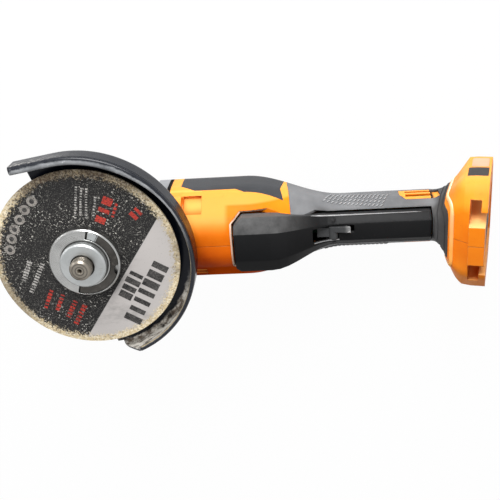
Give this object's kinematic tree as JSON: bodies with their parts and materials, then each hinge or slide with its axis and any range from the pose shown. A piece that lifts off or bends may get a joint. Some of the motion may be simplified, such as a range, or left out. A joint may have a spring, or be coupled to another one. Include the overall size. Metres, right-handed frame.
{
  "type": "cordless angle grinder",
  "caption": "Cordless angle grinder with cutting disc, turnable guard, quick-release nut, paddle switch, rubber grip and an open battery foot.",
  "frame": {"origin": "on the spindle axis, at the flat back of the gear case that the tool lies on", "axes": "+Z runs out along the spindle, +X runs along the motor to the battery foot, +Y is the tool's left side"},
  "size_m": [0.343, 0.1448, 0.1045],
  "materials": {
    "orange_shell": "moulded satin, scuffed",
    "dark_panel": "fine moulded grain",
    "grip_rubber": "soft matte",
    "black_plastic": "moulded, worn shiny",
    "grey_plastic": "moulded",
    "cast_alloy": "die cast, satin",
    "bare_steel": "turned",
    "dark_steel": "blackened",
    "guard_enamel": "gloss black, worn to bare steel",
    "abrasive": "resin-bonded grit with a fibre net",
    "laminations": "stacked sheet",
    "copper": "enamelled wire",
    "board": "circuit board"
  },
  "bodies": {
    "tool": {"gear_case": "cast_alloy", "bearing_plate": "cast_alloy", "bearing_plate_screws": "dark_steel", "gear_case_screws": "bare_steel", "fan_baffle": "black_plastic", "spindle_needle_bearing": "bare_steel", "spindle_bearing": "bare_steel", "dust_seal": "grip_rubber", "lock_spring": "bare_steel", "stator_core": "laminations", "stator_coils": "copper", "pinion_bearing": "bare_steel", "rear_motor_bearing": "bare_steel", "housing_left": "orange_shell", "housing_right": "orange_shell", "side_panel_left": "dark_panel", "side_panel_right": "dark_panel", "grip_left": "grip_rubber", "grip_right": "grip_rubber", "vent_insert_left": "orange_shell", "vent_insert_right": "orange_shell", "latch_pads": "grip_rubber", "housing_screws": "dark_steel", "paddle_hinge_pin": "bare_steel", "paddle_spring": "bare_steel", "control_module": "grey_plastic", "circuit_board": "board", "trigger_switch": "black_plastic", "terminal_block": "black_plastic", "battery_contacts": "copper"},
    "spindle": {"spindle": "bare_steel", "ring_gear": "dark_steel", "gear_circlip": "dark_steel", "inner_flange": "bare_steel", "cutting_disc": "abrasive", "nut_flange": "bare_steel", "nut_hub": "bare_steel", "bail_pins": "bare_steel"},
    "bail": {"nut_bail": "dark_steel"},
    "rotor": {"motor_shaft": "bare_steel", "pinion": "dark_steel", "fan": "black_plastic", "rotor_core": "laminations"},
    "spindle_lock": {"lock_button": "black_plastic"},
    "paddle": {"paddle": "black_plastic", "lock_lever_pin": "bare_steel"},
    "lock_lever": {"lock_lever": "grey_plastic"},
    "switch_plunger": {"switch_plunger": "grey_plastic"},
    "guard": {"guard": "guard_enamel", "guard_band": "guard_enamel", "guard_lever_pin": "bare_steel"},
    "guard_lever": {"guard_lever": "bare_steel"}
  },
  "joints": [
    {"name": "spindle_spin", "type": "hinge", "parent": "tool", "child": "spindle", "pos_m": [0, 0, 0], "axis": [0, 0, 1], "continuous": true},
    {"name": "rotor_spin", "type": "hinge", "parent": "tool", "child": "rotor", "pos_m": [0, 0, 0.038], "axis": [1, 0, 0], "continuous": true},
    {"name": "bail_fold", "type": "hinge", "parent": "spindle", "child": "bail", "pos_m": [0, 0, 0.0905], "axis": [-0.2588, -0.9659, 0], "range_deg": [0, 90]},
    {"name": "spindle_lock_press", "type": "slide", "parent": "tool", "child": "spindle_lock", "axis": [0, 0, 1], "range_m": [0, 0.004], "stiffness_N_per_m": 500, "springref_m": -0.004, "deforming": ["lock_spring"]},
    {"name": "paddle_press", "type": "hinge", "parent": "tool", "child": "paddle", "pos_m": [0.225, 0, 0.0445], "axis": [0, -1, 0], "range_deg": [0, 2], "stiffness_Nm_per_rad": 20, "springref_deg": -2.86, "deforming": ["paddle_spring"]},
    {"name": "plunger_slide", "type": "slide", "parent": "tool", "child": "switch_plunger", "axis": [0, 0, -1], "range_m": [0, 0.0013]},
    {"name": "lock_lever_turn", "type": "hinge", "parent": "paddle", "child": "lock_lever", "pos_m": [0.164, 0, 0.057], "axis": [0, 1, 0], "range_deg": [0, 20], "stiffness_Nm_per_rad": 0.02, "springref_deg": -8.59},
    {"name": "guard_turn", "type": "hinge", "parent": "tool", "child": "guard", "pos_m": [0, 0, 0.078], "axis": [0, 0, 1], "range_deg": [-113, 67]},
    {"name": "guard_lever_turn", "type": "hinge", "parent": "guard", "child": "guard_lever", "pos_m": [-0.01236, 0.0306, 0.075], "axis": [0, 0, -1], "range_deg": [0, 80], "stiffness_Nm_per_rad": 0.02, "springref_deg": -17.19}
  ],
  "couplings": [
    {"joint": "rotor_spin", "follows": "spindle_spin", "ratio": -3},
    {"joint": "plunger_slide", "follows": "paddle_press", "m_per_rad": 0.035}
  ]
}
